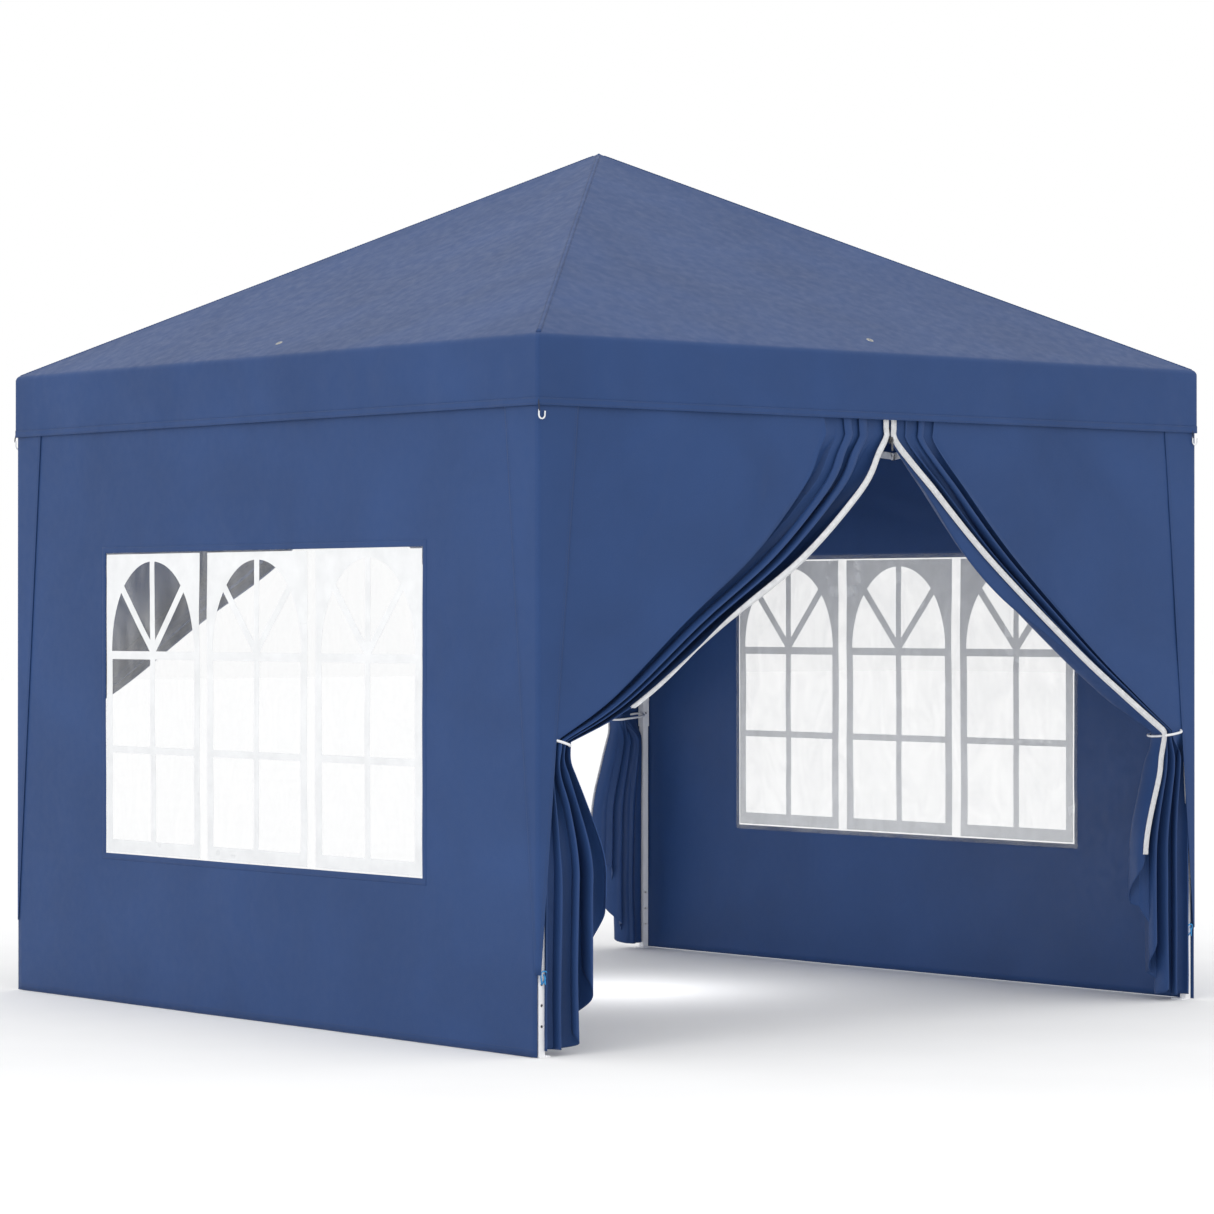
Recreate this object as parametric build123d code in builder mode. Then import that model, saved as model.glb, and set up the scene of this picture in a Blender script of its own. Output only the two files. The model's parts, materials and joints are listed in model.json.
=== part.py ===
from build123d import *
import math
import os

# Pop-up canopy: four telescoping legs joined by crossed bars, a roof pole in the middle, and a fabric
# roof and walls.  Millimetres, +Z up, origin on the ground at the middle.  The two doors are at the
# front (-Y) and the back (+Y), the two windows at the left (-X) and the right (+X).

# Driving dimensions
LEG_SPACING = 2894.0       # leg centre to leg centre
LEG = LEG_SPACING / 2
UPPER_TUBE = 30.0
LOWER_TUBE = 25.0
TUBE_WALL = 1.0
UPPER_BOTTOM = 888.0       # lower end of the upper tubes with the legs drawn out
LEG_TOP = 2150.0
LOWER_TOP = 1150.0
FOOT_THICKNESS = 4.0
FOOT_SIZE = 50.0
FOOT_INSET = 11.0          # how far the foot plate sits towards the inside of the canopy
STAKE_HOLE_R = 4.5
STAKE_HOLE_INSET = 24.0
HEIGHT_HOLES = (94.0, 157.5, 221.0)
HEIGHT_HOLE_R = 4.5
BUTTON_Z = 941.0
BUTTON_R = 4.0

# Truss: crossed bars between an upper and a lower line of pivots
TOP_Z = 2120.0
TRUSS_DEPTH = 190.0
LOW_Z = TOP_Z - TRUSS_DEPTH
EAR_REACH = 45.0           # leg centre line to the nearest pivot
MID_GAP = 34.0             # middle of a side to its nearest pivot, where a bracket joins the bars
SPAN = LEG - EAR_REACH - MID_GAP
BAR_HEIGHT = 25.0
BAR_THICKNESS = 12.0
BAR_WALL = 1.0
BAR_TAIL = 14.0            # bar past its end pivots
LAYER = 14.0               # falling bars to rising bars, measured inward
PIN_R = 4.0
RUNNING = 0.05             # radial clearance of a pin
HEAD_R = 7.0
HEAD = 2.0
SIDE_GAP = 1.0             # bar side to ear or rivet head
EAR_R = 14.0
NEAR_EAR = (-SIDE_GAP, BAR_THICKNESS / 2 + SIDE_GAP)
FAR_EAR = (BAR_THICKNESS / 2 + SIDE_GAP, BAR_THICKNESS / 2 + SIDE_GAP + 8.0)

# Brackets and sliders
BRACKET_HALF = 19.0
BRACKET_BOTTOM = 2085.0
BRACKET_TOP = 2165.0
SLIDER_HALF = 18.3
SLIDER_PLAY = 0.3
SLIDER_BOTTOM = 1885.0
SLIDER_TOP = 1955.0
PULL_PIN_Z = 1898.0
PULL_BOSS_R = 8.0
PULL_BOSS_END = 26.0
PULL_TIP = 16.3            # leg centre to the tip of the pin
PULL_END = 34.0

# Roof pole
POLE_R = 11.0
POLE_WALL = 1.2
POLE_PLAY = 0.5
HUB_R = 15.0
HUB_HALF = 17.0
CAP_R = 25.0
CAP_BOTTOM = 2918.0
CAP_TOP = 2930.0

# Fabric
FABRIC = 1.5
EAVE_Z = 2180.0
APEX_Z = 2958.0
EAVE = 1478.0
VALANCE_BOTTOM = 1967.0
WALL_OUT = 1470.0
WALL_END = 1466.0
WALL_BOTTOM = 12.0
WALL_TOP = 2010.0
WINDOW_HALF = 900.0
WINDOW_BOTTOM = 512.0
WINDOW_TOP = 1550.0
PANE = 0.8
COVER_OUT = 1473.0         # outside of the strips that cover the legs
COVER_WIDTH = 160.0
COVER_TIP = 24.0
COVER_BOTTOM = 260.0
TIE_Z = 950.0
DOOR_APEX_Z = 1900.0
BUNDLE_OUT = 1470.0
BUNDLE_IN = 1430.0

CORNERS = {
    "front_left": (-1, -1),
    "front_right": (1, -1),
    "back_right": (1, 1),
    "back_left": (-1, 1),
}

# Each truss runs along one line: where it starts, which way it runs and which way is inward
TRUSSES = {
    "front": (Vector(-LEG, -LEG, 0), Vector(1, 0, 0), Vector(0, 1, 0), MID_GAP),
    "back": (Vector(-LEG, LEG, 0), Vector(1, 0, 0), Vector(0, -1, 0), MID_GAP),
    "left": (Vector(-LEG, -LEG, 0), Vector(0, 1, 0), Vector(1, 0, 0), 0.0),
    "right": (Vector(LEG, -LEG, 0), Vector(0, 1, 0), Vector(-1, 0, 0), 0.0),
    "centre": (Vector(0, -LEG, 0), Vector(0, 1, 0), Vector(1, 0, 0), MID_GAP),
}

os.makedirs("parts", exist_ok=True)


def save(part, name):
    part.label = name
    export_step(part, f"parts/{name}.step")


def pivots(truss):
    """Distances along a truss of its four pivots: two for each crossed pair of bars."""
    gap = TRUSSES[truss][3]
    first = LEG - gap - SPAN
    return first, first + SPAN, LEG_SPACING - first - SPAN, LEG_SPACING - first


def place(truss, along, inward, height):
    start, run, inner, _ = TRUSSES[truss]
    return start + run * along + inner * inward + Vector(0, 0, height)


def side_plane(truss, along, inward, height):
    """A plane facing inward from a truss, with its x along the truss and its y up or down."""
    _, run, inner, _ = TRUSSES[truss]
    return Plane(origin=place(truss, along, inward, height), x_dir=run, z_dir=inner)


def add_disc(truss, along, height, low, high, radius, mode=Mode.ADD):
    """A round pin, rivet head or hole across a truss."""
    with BuildSketch(side_plane(truss, along, low, height)) as disc:
        Circle(radius)
    extrude(disc.sketch, amount=high - low, mode=mode)


def add_pivot(truss, along, height, rising):
    """The pin of an ear, with its retaining head beyond the bar that turns on it."""
    half = BAR_THICKNESS / 2 + SIDE_GAP
    if rising:
        add_disc(truss, along, height, NEAR_EAR[0], LAYER + half, PIN_R)
        add_disc(truss, along, height, LAYER + half, LAYER + half + HEAD, HEAD_R)
    else:
        add_disc(truss, along, height, -half, FAR_EAR[1], PIN_R)
        add_disc(truss, along, height, -half - HEAD, -half, HEAD_R)


def add_ear(truss, root, along, height, rising):
    """A flat ear from root to the pivot at along, beside the bar that turns on it."""
    low, high = NEAR_EAR if rising else FAR_EAR
    add_disc(truss, along, height, low, high, EAR_R)
    with BuildSketch(side_plane(truss, (root + along) / 2, low, height)) as plate:
        Rectangle(abs(along - root), 2 * EAR_R)
    extrude(plate.sketch, amount=high - low)
    add_pivot(truss, along, height, rising)


def bar_ends(truss, number):
    """The two pivots of bar 1 to 4 of a truss: 1 and 3 fall, 2 and 4 rise."""
    stops = pivots(truss)
    rising = number % 2 == 0
    pair = stops[:2] if number < 3 else stops[2:]
    heights = (LOW_Z, TOP_Z) if rising else (TOP_Z, LOW_Z)
    inward = LAYER if rising else 0.0
    ends = [place(truss, a, inward, h) for a, h in zip(pair, heights)]
    return ends, pair, heights, rising


def make_bar(truss, number):
    """A rectangular tube with a hole at each end and one in the middle, where its partner crosses."""
    (start, end), pair, heights, rising = bar_ends(truss, number)
    inner = TRUSSES[truss][2]
    direction = (end - start).normalized()
    length = (end - start).length + 2 * BAR_TAIL
    low = (LAYER if rising else 0.0) - BAR_THICKNESS
    middle = (sum(pair) / 2, sum(heights) / 2)
    holes = [(pair[0], heights[0]), middle, (pair[1], heights[1])]
    with BuildPart() as bar:
        with BuildSketch(Plane(origin=start - direction * BAR_TAIL, x_dir=inner, z_dir=direction)):
            Rectangle(BAR_THICKNESS, BAR_HEIGHT)
            Rectangle(BAR_THICKNESS - 2 * BAR_WALL, BAR_HEIGHT - 2 * BAR_WALL, mode=Mode.SUBTRACT)
        extrude(amount=length)
        for along, height in holes:
            add_disc(truss, along, height, low, low + 2 * BAR_THICKNESS, PIN_R + RUNNING, Mode.SUBTRACT)
        if not rising:
            # A falling bar carries the rivets that it shares with the rising bars
            rivets = [middle]
            if TRUSSES[truss][3] == 0:
                rivets.append(holes[2] if number == 1 else holes[0])
            half = BAR_THICKNESS / 2 + SIDE_GAP
            for along, height in rivets:
                add_disc(truss, along, height, -half, LAYER + half, PIN_R)
                add_disc(truss, along, height, -half - HEAD, -half, HEAD_R)
                add_disc(truss, along, height, LAYER + half, LAYER + half + HEAD, HEAD_R)
    save(bar.part, f"{truss}_bar_{number}")


def corner_trusses(corner):
    """The two trusses that meet at a corner, each with whether the corner is at its far end."""
    x, y = CORNERS[corner]
    return (("front" if y < 0 else "back", x > 0), ("left" if x < 0 else "right", y > 0))


def make_upper_leg(corner):
    x, y = CORNERS[corner]
    with BuildPart() as leg:
        with BuildSketch(Plane.XY.offset(UPPER_BOTTOM)):
            with Locations((x * LEG, y * LEG)):
                Rectangle(UPPER_TUBE, UPPER_TUBE)
                Rectangle(UPPER_TUBE - 2 * TUBE_WALL, UPPER_TUBE - 2 * TUBE_WALL, mode=Mode.SUBTRACT)
        extrude(amount=LEG_TOP - UPPER_BOTTOM)
        # Hole over the snap button, in the face towards the middle
        with BuildSketch(Plane(origin=(x * LEG, y * LEG, BUTTON_Z), z_dir=(0, -y, 0))):
            Circle(HEIGHT_HOLE_R)
        extrude(amount=UPPER_TUBE, mode=Mode.SUBTRACT)
        # Hole that the slider's pull pin drops into when the frame is open
        with BuildSketch(Plane(origin=(x * LEG, y * LEG, PULL_PIN_Z), z_dir=(-x, 0, 0))):
            Circle(HEIGHT_HOLE_R)
        extrude(amount=UPPER_TUBE, mode=Mode.SUBTRACT)
    save(leg.part, f"upper_leg_{corner}")


def make_lower_leg(corner):
    """The inner tube with its welded foot plate, height holes and the hole for the snap button."""
    x, y = CORNERS[corner]
    centre = (x * LEG, y * LEG)
    with BuildPart() as leg:
        with BuildSketch(Plane.XY):
            with Locations((x * (LEG - FOOT_INSET), y * (LEG - FOOT_INSET))):
                RectangleRounded(FOOT_SIZE, FOOT_SIZE, 6)
            with Locations((x * (LEG - STAKE_HOLE_INSET), y * (LEG - STAKE_HOLE_INSET))):
                Circle(STAKE_HOLE_R, mode=Mode.SUBTRACT)
        extrude(amount=FOOT_THICKNESS)
        with BuildSketch(Plane.XY.offset(FOOT_THICKNESS)):
            with Locations(centre):
                Rectangle(LOWER_TUBE, LOWER_TUBE)
                Rectangle(LOWER_TUBE - 2 * TUBE_WALL, LOWER_TUBE - 2 * TUBE_WALL, mode=Mode.SUBTRACT)
        extrude(amount=LOWER_TOP - FOOT_THICKNESS)
        for height in HEIGHT_HOLES:
            with BuildSketch(Plane(origin=(*centre, height), z_dir=(0, 1, 0))):
                Circle(HEIGHT_HOLE_R)
            extrude(amount=LOWER_TUBE, both=True, mode=Mode.SUBTRACT)
        with BuildSketch(Plane(origin=(*centre, BUTTON_Z), z_dir=(0, -y, 0))):
            Circle(BUTTON_R + RUNNING)
        extrude(amount=LOWER_TUBE, mode=Mode.SUBTRACT)
    save(leg.part, f"lower_leg_{corner}")


def make_leg_button(corner):
    """The snap button of a leg: a domed stud that shows in the hole of the upper tube."""
    x, y = CORNERS[corner]
    with BuildPart() as button:
        with BuildSketch(Plane(origin=(x * LEG, y * (LEG - 5), BUTTON_Z), z_dir=(0, -y, 0))):
            Circle(BUTTON_R)
        extrude(amount=LOWER_TUBE / 2 - 5 + 1.1)
        fillet(button.edges().sort_by(Axis.Y)[0 if y > 0 else -1], 1.0)
    save(button.part, f"leg_button_{corner}")


def make_top_bracket(corner):
    """A moulded cap on the leg, with an ear for each of the two trusses that meet there."""
    x, y = CORNERS[corner]
    with BuildPart() as bracket:
        with BuildSketch(Plane.XY.offset(BRACKET_BOTTOM)):
            with Locations((x * LEG, y * LEG)):
                RectangleRounded(2 * BRACKET_HALF, 2 * BRACKET_HALF, 3)
        extrude(amount=BRACKET_TOP - BRACKET_BOTTOM)
        with BuildSketch(Plane.XY.offset(BRACKET_BOTTOM)):
            with Locations((x * LEG, y * LEG)):
                Rectangle(UPPER_TUBE, UPPER_TUBE)
        extrude(amount=LEG_TOP - BRACKET_BOTTOM, mode=Mode.SUBTRACT)
        for truss, far_end in corner_trusses(corner):
            stops = pivots(truss)
            along = stops[3] if far_end else stops[0]
            root = LEG_SPACING - BRACKET_HALF + 1 if far_end else BRACKET_HALF - 1
            add_ear(truss, root, along, TOP_Z, rising=far_end)
    save(bracket.part, f"top_bracket_{corner}")


def make_slider(corner):
    """The sleeve that runs on the upper tube, with two ears and the boss of its pull pin."""
    x, y = CORNERS[corner]
    hole = UPPER_TUBE + 2 * SLIDER_PLAY
    with BuildPart() as slider:
        with BuildSketch(Plane.XY.offset(SLIDER_BOTTOM)):
            with Locations((x * LEG, y * LEG)):
                RectangleRounded(2 * SLIDER_HALF, 2 * SLIDER_HALF, 3)
        extrude(amount=SLIDER_TOP - SLIDER_BOTTOM)
        with BuildSketch(Plane(origin=(x * LEG, y * LEG, PULL_PIN_Z), z_dir=(-x, 0, 0))):
            Circle(PULL_BOSS_R)
        extrude(amount=PULL_BOSS_END)
        for truss, far_end in corner_trusses(corner):
            stops = pivots(truss)
            along = stops[3] if far_end else stops[0]
            root = LEG_SPACING - SLIDER_HALF + 1 if far_end else SLIDER_HALF - 1
            add_ear(truss, root, along, LOW_Z, rising=not far_end)
        with BuildSketch(Plane.XY.offset(SLIDER_BOTTOM)):
            with Locations((x * LEG, y * LEG)):
                Rectangle(hole, hole)
        extrude(amount=SLIDER_TOP - SLIDER_BOTTOM, mode=Mode.SUBTRACT)
        with BuildSketch(Plane(origin=(x * LEG, y * LEG, PULL_PIN_Z), z_dir=(-x, 0, 0))):
            Circle(PIN_R + RUNNING)
        extrude(amount=PULL_BOSS_END, mode=Mode.SUBTRACT)
    save(slider.part, f"slider_{corner}")


def make_pull_pin(corner):
    x, y = CORNERS[corner]
    with BuildPart() as pin:
        with BuildSketch(Plane(origin=(x * (LEG - PULL_TIP), y * LEG, PULL_PIN_Z), z_dir=(-x, 0, 0))):
            Circle(PIN_R)
        extrude(amount=PULL_END - PULL_TIP)
        with BuildSketch(Plane(origin=(x * (LEG - PULL_BOSS_END - 1), y * LEG, PULL_PIN_Z), z_dir=(-x, 0, 0))):
            Circle(PULL_BOSS_R - 0.5)
        extrude(amount=PULL_END - PULL_BOSS_END - 1)
    save(pin.part, f"pull_pin_{corner}")


def make_mid_bracket(truss, upper):
    """Joins the bars at the middle of the front or back truss to the truss across the middle."""
    height = TOP_Z if upper else LOW_Z
    stops = pivots(truss)
    at_back = truss == "back"
    centre_stop = pivots("centre")[3 if at_back else 0]
    centre_root = LEG_SPACING - 12.0 if at_back else 12.0
    with BuildPart() as bracket:
        with BuildSketch(side_plane(truss, LEG, NEAR_EAR[0], height)):
            Rectangle(20, 2 * EAR_R)
        extrude(amount=FAR_EAR[1] - NEAR_EAR[0])
        add_ear(truss, LEG, stops[1], height, rising=upper)
        add_ear(truss, LEG, stops[2], height, rising=not upper)
        add_ear("centre", centre_root, centre_stop, height, rising=upper == at_back)
    save(bracket.part, f"mid_bracket_{truss}_{'top' if upper else 'bottom'}")


def make_centre_bracket(upper):
    """The hub of the middle truss: the upper one guides the roof pole and the lower one carries it."""
    height = TOP_Z if upper else LOW_Z
    stops = pivots("centre")
    bore = POLE_R + (POLE_PLAY if upper else RUNNING)
    floor = 0.0 if upper else 5.0
    with BuildPart() as hub:
        add_ear("centre", LEG - 5, stops[1], height, rising=upper)
        add_ear("centre", LEG + 5, stops[2], height, rising=not upper)
        with BuildSketch(Plane.XY.offset(height - HUB_HALF)):
            Circle(HUB_R)
        extrude(amount=2 * HUB_HALF)
        with BuildSketch(Plane.XY.offset(height - HUB_HALF + floor)):
            Circle(bore)
        extrude(amount=2 * HUB_HALF - floor, mode=Mode.SUBTRACT)
    save(hub.part, f"centre_bracket_{'top' if upper else 'bottom'}")


def make_roof_pole():
    """The pole that holds the roof up, with its round cap."""
    bottom = LOW_Z - HUB_HALF + 5.0
    with BuildPart() as pole:
        with BuildSketch(Plane.XY.offset(bottom)):
            Circle(POLE_R)
            Circle(POLE_R - POLE_WALL, mode=Mode.SUBTRACT)
        extrude(amount=CAP_BOTTOM - bottom)
        with BuildSketch(Plane.XY.offset(CAP_BOTTOM)):
            Circle(CAP_R)
        extrude(amount=CAP_TOP - CAP_BOTTOM)
        fillet(pole.edges().sort_by(Axis.Z)[-1], 6.0)
    save(pole.part, "roof_pole")


def turned(side):
    """A vertical plane whose x runs along one side and whose z faces out: 0 front to 3 left."""
    angle = math.radians(90 * side)
    out = Vector(math.sin(angle), -math.cos(angle), 0)
    run = Vector(math.cos(angle), math.sin(angle), 0)
    return out, run


def make_roof():
    """Four roof panels, four valance strips and the strips that hang over the legs."""
    slope = math.atan2(APEX_Z - EAVE_Z, EAVE)
    slant = math.hypot(APEX_Z - EAVE_Z, EAVE)
    with BuildPart() as roof:
        for side in range(4):
            out, run = turned(side)
            normal = out * math.sin(slope) + Vector(0, 0, math.cos(slope))
            with BuildSketch(Plane(origin=out * EAVE + Vector(0, 0, EAVE_Z), x_dir=run, z_dir=normal)):
                with BuildLine():
                    Polyline((-EAVE + 2, 0.5), (EAVE - 2, 0.5), (0, slant - 2), close=True)
                make_face()
            extrude(amount=-FABRIC)
            with BuildSketch(Plane(origin=out * EAVE, x_dir=run, z_dir=out)):
                with Locations((0, (EAVE_Z - 1.5 + VALANCE_BOTTOM) / 2)):
                    Rectangle(2 * EAVE - 4, EAVE_Z - 1.5 - VALANCE_BOTTOM)
            extrude(amount=-FABRIC)
            for end in (-1, 1):
                edge = end * (COVER_OUT - 4)
                with BuildSketch(Plane(origin=out * COVER_OUT, x_dir=run, z_dir=out)):
                    with BuildLine():
                        Polyline(
                            (edge, VALANCE_BOTTOM + 20),
                            (edge - end * COVER_WIDTH, VALANCE_BOTTOM + 20),
                            (edge - end * COVER_TIP, COVER_BOTTOM),
                            (edge, COVER_BOTTOM),
                            close=True,
                        )
                    make_face()
                extrude(amount=-FABRIC)
    save(roof.part, "roof_cover")


def make_window_wall(side, name):
    out, run = turned(side)
    outside = Plane(origin=out * WALL_OUT, x_dir=run, z_dir=out)
    window_z = (WINDOW_BOTTOM + WINDOW_TOP) / 2
    window_height = WINDOW_TOP - WINDOW_BOTTOM
    with BuildPart() as wall:
        with BuildSketch(outside):
            with Locations((0, (WALL_BOTTOM + WALL_TOP) / 2)):
                Rectangle(2 * WALL_END, WALL_TOP - WALL_BOTTOM)
            with Locations((0, window_z)):
                Rectangle(2 * WINDOW_HALF, window_height, mode=Mode.SUBTRACT)
        extrude(amount=-FABRIC)
    save(wall.part, f"window_wall_{name}")
    with BuildPart() as pane:
        with BuildSketch(outside.offset(-(FABRIC - PANE) / 2)):
            with Locations((0, window_z)):
                Rectangle(2 * WINDOW_HALF, window_height)
        extrude(amount=-PANE)
    save(pane.part, f"window_pane_{name}")


def make_curtain(side, end, name):
    """One half of a door, drawn back to a leg and tied: a panel above the tie, a bundle below it."""
    out, run = turned(side)
    panel = [
        (WALL_END, WALL_TOP),
        (1, WALL_TOP),
        (1, DOOR_APEX_Z),
        (400, 1509),
        (1030, 1104),
        (1340, TIE_Z),
        (WALL_END, TIE_Z),
    ]
    bundle = [(1425, TIE_Z + 60), (1330, TIE_Z + 40), (1206, 540), (1206, 360), (1320, 16), (1400, 16)]
    with BuildPart() as curtain:
        with BuildSketch(Plane(origin=out * WALL_OUT, x_dir=run, z_dir=out)):
            with BuildLine():
                Polyline(*[(end * u, z) for u, z in panel], close=True)
            make_face()
        extrude(amount=-FABRIC)
        with BuildSketch(Plane(origin=out * BUNDLE_OUT, x_dir=run, z_dir=out)):
            with BuildLine():
                Polyline(*[(end * u, z) for u, z in bundle], close=True)
            make_face()
        extrude(amount=BUNDLE_IN - BUNDLE_OUT)
    save(curtain.part, name)


for corner in CORNERS:
    make_upper_leg(corner)
    make_lower_leg(corner)
    make_leg_button(corner)
    make_top_bracket(corner)
    make_slider(corner)
    make_pull_pin(corner)

for truss in TRUSSES:
    for number in (1, 2, 3, 4):
        make_bar(truss, number)

for truss in ("front", "back"):
    make_mid_bracket(truss, upper=True)
    make_mid_bracket(truss, upper=False)

make_centre_bracket(upper=True)
make_centre_bracket(upper=False)
make_roof_pole()
make_roof()
make_window_wall(3, "left")
make_window_wall(1, "right")
make_curtain(0, -1, "front_curtain_left")
make_curtain(0, 1, "front_curtain_right")
make_curtain(2, 1, "back_curtain_left")
make_curtain(2, -1, "back_curtain_right")
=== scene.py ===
"""Pop-up canopy: its fabric, film, zips, ties and finishes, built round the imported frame.

Metres, in the frame's own axes: +Z up, the doors at -Y and +Y, the windows at -X and +X.
"""
import json
import math

import bmesh
import bpy
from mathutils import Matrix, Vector, noise

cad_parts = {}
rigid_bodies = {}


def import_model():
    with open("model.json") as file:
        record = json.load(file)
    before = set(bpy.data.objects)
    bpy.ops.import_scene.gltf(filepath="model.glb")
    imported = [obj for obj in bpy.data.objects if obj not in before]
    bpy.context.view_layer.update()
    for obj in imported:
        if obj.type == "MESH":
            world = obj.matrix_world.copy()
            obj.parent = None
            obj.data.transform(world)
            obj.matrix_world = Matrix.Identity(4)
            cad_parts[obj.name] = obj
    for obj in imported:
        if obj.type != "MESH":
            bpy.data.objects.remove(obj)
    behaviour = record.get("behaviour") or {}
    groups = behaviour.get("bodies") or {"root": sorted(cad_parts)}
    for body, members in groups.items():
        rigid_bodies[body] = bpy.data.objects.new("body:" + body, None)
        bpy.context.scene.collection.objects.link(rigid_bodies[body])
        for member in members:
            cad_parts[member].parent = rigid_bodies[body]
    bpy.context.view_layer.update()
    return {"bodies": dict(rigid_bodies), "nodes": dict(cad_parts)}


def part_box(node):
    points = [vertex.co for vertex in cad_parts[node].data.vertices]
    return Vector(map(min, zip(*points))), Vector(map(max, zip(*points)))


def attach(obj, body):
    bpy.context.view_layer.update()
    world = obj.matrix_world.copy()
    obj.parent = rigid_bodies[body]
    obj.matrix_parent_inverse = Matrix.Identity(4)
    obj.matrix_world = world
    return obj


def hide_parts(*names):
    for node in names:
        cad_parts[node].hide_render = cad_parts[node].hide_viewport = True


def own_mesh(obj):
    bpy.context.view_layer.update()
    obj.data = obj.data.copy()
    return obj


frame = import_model()

# ---------------------------------------------------------------- sizes, from the frame
tube_low, tube_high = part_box("upper_leg_front_left")
wall_low, wall_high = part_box("window_wall_left")
pane_low, pane_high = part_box("window_pane_left")
LEG = -(tube_low.x + tube_high.x) / 2
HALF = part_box("roof_cover")[1].x               # middle of the canopy to its valance
EAVE_Z = tube_high.z + 0.030
APEX_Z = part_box("roof_cover")[1].z + 0.002
WALL_OUT = -wall_low.x                         # plane of the walls and doors
WALL_END = wall_high.y
WALL_TOP = wall_high.z
VALANCE_BOTTOM = WALL_TOP - 0.043
STRIP_OUT = WALL_OUT + 0.003                   # plane of the strips over the legs


# ---------------------------------------------------------------- sizes of the fabric work
CLOTH = 0.0012
EAVE_R = 0.022
CORNER_R = 0.010
ROOF_SAG = 0.012
HEM = 0.024
STRIP_TOP_Z = WALL_TOP - 0.012
STRIP_TIP_Z = 0.250
STRIP_HALF_TOP = 0.160
STRIP_HALF_TIP = 0.010
STRIP_R = 0.012
STITCH = 0.0048
STITCH_PITCH = 0.0072

SLIDER_Z = 1.902
DOOR_TOP_Z = WALL_TOP - 0.008
DOOR_LEG_U = 1.438                             # middle of a door to its edge at the leg
ZIP_U = 0.012
TIE_Z = 0.950
HEM_LOW = 0.020
PLEATS = 3
PLEAT_DEEPEST = 0.043
PLEAT_PROUD = 0.013                            # how far the pleats stand out of the door's plane
BAR_ROOM = 0.012                               # depth for pleats in front of the bars behind the door's top
BAR_FOOT_Z = 1.916
LEG_SIDE_U = 1.395                             # the leg's strip starts here, seen from the doorway
BUNCH_WIDTH = 0.235                            # the hanging folds of a tied door
TAPE_IN = 0.016
TAPE_OUT = 0.006
WALL_FOOT_Z = 0.002
LOWER_TUBE_HALF = 0.0125
HEIGHT_HOLE_Z = 0.221                          # top height hole of a leg

CORNERS = {
    "front_left": (-1, -1),
    "front_right": (1, -1),
    "back_right": (1, 1),
    "back_left": (-1, 1),
}


# ---------------------------------------------------------------- small tools
def mix(a, b, share):
    return a + (b - a) * share


def smooth(x):
    x = min(1.0, max(0.0, x))
    return x * x * (3 - 2 * x)


def ripple(x, y, seed, size):
    """Smooth noise of about -1 to 1 whose bumps are `size` across."""
    return noise.noise(Vector((x / size, y / size, seed)))


def crease(x, y, seed, size):
    """Thin ridges, as where cloth was folded for its bag: 0 to 1."""
    ridge = 1 - min(1.0, abs(ripple(x, y, seed, size)) * 6)
    return ridge * ridge * smooth(ripple(x, y, seed + 7.3, size * 1.7) * 2)


def spread(low, high, step):
    count = max(1, math.ceil((high - low) / step))
    return [low + (high - low) * i / count for i in range(count + 1)]


def add_object(name, mesh):
    obj = bpy.data.objects.new(name, mesh)
    bpy.context.scene.collection.objects.link(obj)
    return obj


def mesh_object(name, points, faces, finish=None):
    mesh = bpy.data.meshes.new(name)
    mesh.from_pydata([tuple(p) for p in points], [], faces)
    mesh.shade_smooth()
    obj = add_object(name, mesh)
    if finish:
        mesh.materials.append(finish)
    return obj


def face_rows(rows, columns, closed=False, skip=None):
    """Quads between the points of a grid; closed joins the last column to the first."""
    faces = []
    for r in range(rows - 1):
        for c in range(columns if closed else columns - 1):
            if skip and skip(r, c):
                continue
            n = (c + 1) % columns
            faces.append((r * columns + c, r * columns + n, (r + 1) * columns + n, (r + 1) * columns + c))
    return faces


def thicken(obj, thickness=CLOTH):
    solid = obj.modifiers.new("thickness", "SOLIDIFY")
    solid.thickness = thickness
    solid.offset = 0
    return obj


class Path:
    """A smooth line through a few points, read by the share of its length."""

    STEPS = 24

    def __init__(self, points):
        points = [Vector(p) for p in points]
        ends = [2 * points[0] - points[1], *points, 2 * points[-1] - points[-2]]
        self.line = []
        for a, b, c, d in zip(ends, ends[1:], ends[2:], ends[3:]):
            for k in range(self.STEPS):
                t = k / self.STEPS
                square, cube = 2 * a - 5 * b + 4 * c - d, 3 * b - a - 3 * c + d
                self.line.append(0.5 * (2 * b + (c - a) * t + square * t * t + cube * t**3))
        self.line.append(points[-1])
        self.stops = [0.0]
        for p, q in zip(self.line, self.line[1:]):
            self.stops.append(self.stops[-1] + (q - p).length)
        self.length = self.stops[-1]

    def at(self, share):
        wanted = min(1.0, max(0.0, share)) * self.length
        i = 1
        while i < len(self.stops) - 1 and self.stops[i] < wanted:
            i += 1
        run = self.stops[i] - self.stops[i - 1]
        return self.line[i - 1].lerp(self.line[i], (wanted - self.stops[i - 1]) / run if run else 0)


def wire(name, points, radius, finish, closed=False):
    """A round wire or cord along a few points."""
    curve = bpy.data.curves.new(name, "CURVE")
    curve.dimensions = "3D"
    curve.resolution_u = 12
    curve.bevel_depth = radius
    curve.bevel_resolution = 4
    curve.use_fill_caps = True
    spline = curve.splines.new("NURBS")
    spline.points.add(len(points) - 1)
    for target, p in zip(spline.points, points):
        target.co = (*p, 1)
    spline.order_u = 3
    spline.use_cyclic_u = closed
    spline.use_endpoint_u = not closed
    curve.materials.append(finish)
    return add_object(name, curve)


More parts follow.
